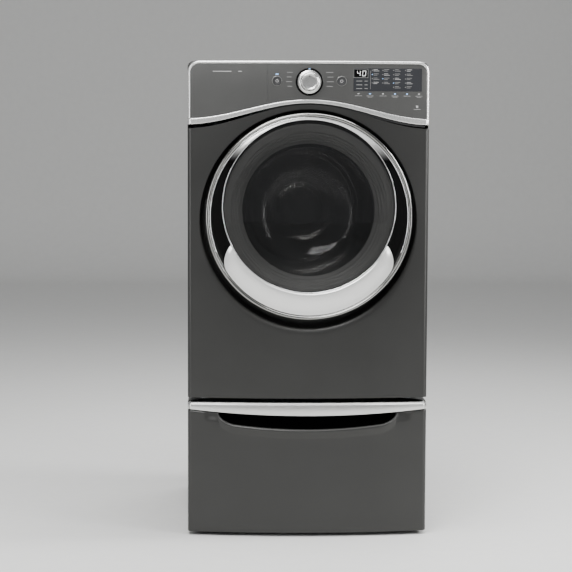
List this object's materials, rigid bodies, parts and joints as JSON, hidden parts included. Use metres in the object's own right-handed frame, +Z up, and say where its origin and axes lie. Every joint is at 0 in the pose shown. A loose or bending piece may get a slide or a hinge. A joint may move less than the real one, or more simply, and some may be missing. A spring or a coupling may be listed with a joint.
{
  "type": "front load washing machine",
  "caption": "Front load washing machine with a round door, a bowed console and a matching storage drawer pedestal.",
  "frame": {"origin": "on the floor, at the middle of the outline in plan", "axes": "+Z up, front faces -Y, +X is to the right of a person who faces the machine"},
  "size_m": [0.686, 0.7897, 1.357],
  "materials": {
    "graphite_paint": "metallic dark grey enamel, satin",
    "black_rubber": "moulded, matte",
    "galvanised_steel": "zinc-coated sheet, fine spangle",
    "console_plastic": "painted metallic grey, satin",
    "satin_silver": "satin silver plated",
    "smoked_display": "smoked, glossy",
    "circuit_board": "green solder mask",
    "white_plastic": "moulded polypropylene",
    "grey_rubber": "moulded, soft sheen",
    "black_plastic": "moulded, fine grain",
    "stainless_steel": "bright stainless",
    "tub_plastic": "glass-filled polypropylene",
    "concrete": "cast, matte",
    "copper_winding": "enamelled copper wire on laminations",
    "spring_steel": "drawn wire and bearing steel",
    "cast_aluminium": "die cast",
    "chrome": "bright plated",
    "gloss_black": "high gloss",
    "tinted_glass": "smoked, glossy",
    "clear_glass": "pressed glass, clear"
  },
  "bodies": {
    "cabinet": {"pedestal_cabinet": "graphite_paint", "pedestal_foot_front_left": "black_rubber", "pedestal_foot_front_right": "black_rubber", "pedestal_foot_rear_left": "black_rubber", "pedestal_foot_rear_right": "black_rubber", "drawer_rail_left": "galvanised_steel", "drawer_rail_right": "galvanised_steel", "base_pan": "galvanised_steel", "side_panel_left": "graphite_paint", "side_panel_right": "graphite_paint", "rear_panel": "galvanised_steel", "top_panel": "graphite_paint", "top_brace": "galvanised_steel", "front_panel": "graphite_paint", "console_panel": "console_plastic", "console_rim": "satin_silver", "wave_trim": "satin_silver", "display_panel": "smoked_display", "control_board": "circuit_board", "dispenser_housing": "white_plastic", "door_gasket": "grey_rubber", "door_lock": "black_plastic", "hinge_bracket": "galvanised_steel", "hinge_pin": "stainless_steel", "drain_pump": "white_plastic", "inlet_valve": "white_plastic", "power_inlet": "black_plastic", "damper_cylinder_left": "black_plastic", "damper_cylinder_right": "black_plastic"},
    "wash_unit": {"tub_rear": "tub_plastic", "tub_front": "tub_plastic", "front_counterweight": "concrete", "motor_stator": "copper_winding", "drum_bearing": "spring_steel", "suspension_spring_left": "spring_steel", "suspension_spring_right": "spring_steel", "damper_rod_left": "galvanised_steel", "damper_rod_right": "galvanised_steel"},
    "drum_group": {"drum": "stainless_steel", "drum_baffle_1": "white_plastic", "drum_baffle_2": "white_plastic", "drum_baffle_3": "white_plastic", "drum_spider": "cast_aluminium", "motor_rotor": "galvanised_steel"},
    "door": {"door_outer_ring": "chrome", "door_face_ring": "gloss_black", "door_crescent": "satin_silver", "door_window": "tinted_glass", "door_bowl": "clear_glass", "door_back_frame": "black_plastic", "door_hinge_arm": "cast_aluminium", "door_strike": "stainless_steel"},
    "selector": {"selector_knob": "satin_silver"},
    "power_key": {"power_button": "black_plastic"},
    "start_key": {"start_button": "black_plastic"},
    "detergent_drawer": {"dispenser_front": "console_plastic", "dispenser_tray": "white_plastic"},
    "storage_drawer": {"pedestal_drawer_front": "graphite_paint", "pedestal_drawer_trim": "satin_silver", "pedestal_drawer_box": "galvanised_steel"}
  },
  "joints": [
    {"name": "door_swing", "type": "hinge", "parent": "cabinet", "child": "door", "pos_m": [-0.285, -0.363, 0.9195], "axis": [0, 0, -1], "range_deg": [0, 120]},
    {"name": "storage_drawer_slide", "type": "slide", "parent": "cabinet", "child": "storage_drawer", "axis": [0, -1, 0], "range_m": [0, 0.42]},
    {"name": "detergent_drawer_slide", "type": "slide", "parent": "cabinet", "child": "detergent_drawer", "axis": [0, -1, 0], "range_m": [0, 0.2]},
    {"name": "selector_turn", "type": "hinge", "parent": "cabinet", "child": "selector", "pos_m": [0, -0.362, 1.298], "axis": [0, 1, 0], "continuous": true},
    {"name": "power_press", "type": "slide", "parent": "cabinet", "child": "power_key", "axis": [0, 1, 0], "range_m": [0, 0.002], "stiffness_N_per_m": 600, "springref_m": -0.001},
    {"name": "start_press", "type": "slide", "parent": "cabinet", "child": "start_key", "axis": [0, 1, 0], "range_m": [0, 0.002], "stiffness_N_per_m": 600, "springref_m": -0.001},
    {"name": "wash_unit_bounce", "type": "slide", "parent": "cabinet", "child": "wash_unit", "axis": [0, 0, 1], "range_m": [-0.01, 0.01], "stiffness_N_per_m": 24000, "springref_m": 0.02136, "deforming": ["suspension_spring_left", "suspension_spring_right", "door_gasket"]},
    {"name": "drum_spin", "type": "hinge", "parent": "wash_unit", "child": "drum_group", "pos_m": [0, 0.257, 0.925], "axis": [0, 1, 0], "continuous": true}
  ]
}
